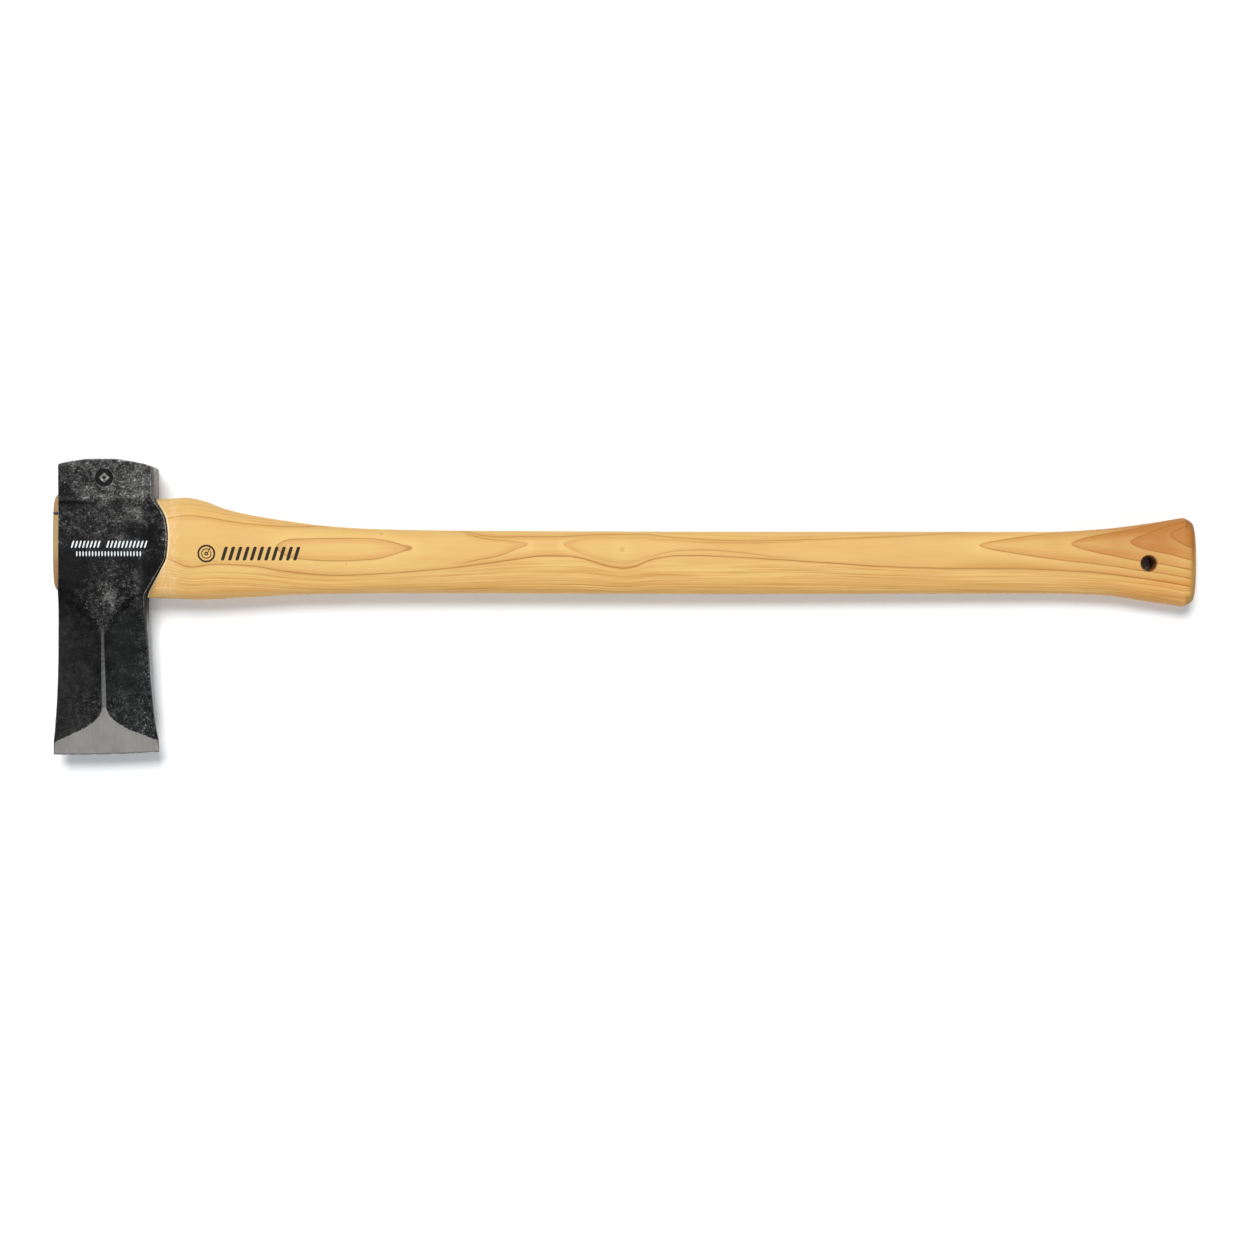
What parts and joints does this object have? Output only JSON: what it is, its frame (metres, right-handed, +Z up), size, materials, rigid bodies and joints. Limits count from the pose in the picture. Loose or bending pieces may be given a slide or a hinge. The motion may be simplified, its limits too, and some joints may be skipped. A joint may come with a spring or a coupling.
{
  "type": "splitting maul",
  "caption": "Long-handled splitting maul: forged steel wedge head with a flat striking poll, on a straight oval hickory handle with a flared, bored knob.",
  "frame": {"origin": "centre of the bounding box, on the surface that the maul lies on", "axes": "+X along the handle from the head to the knob, +Y from the cutting edge to the poll, +Z up from the surface"},
  "size_m": [0.798, 0.2058, 0.0457],
  "materials": {
    "forged_steel": "black forge scale with worn edges and a bright ground cutting edge",
    "hickory": "oiled, fine sanded",
    "wedge_wood": "end grain, oiled",
    "wedge_steel": "dull mild steel"
  },
  "bodies": {
    "root": {"maul_head": "forged_steel", "handle": "hickory", "wooden_wedge": "wedge_wood", "steel_wedge": "wedge_steel"}
  },
  "joints": []
}
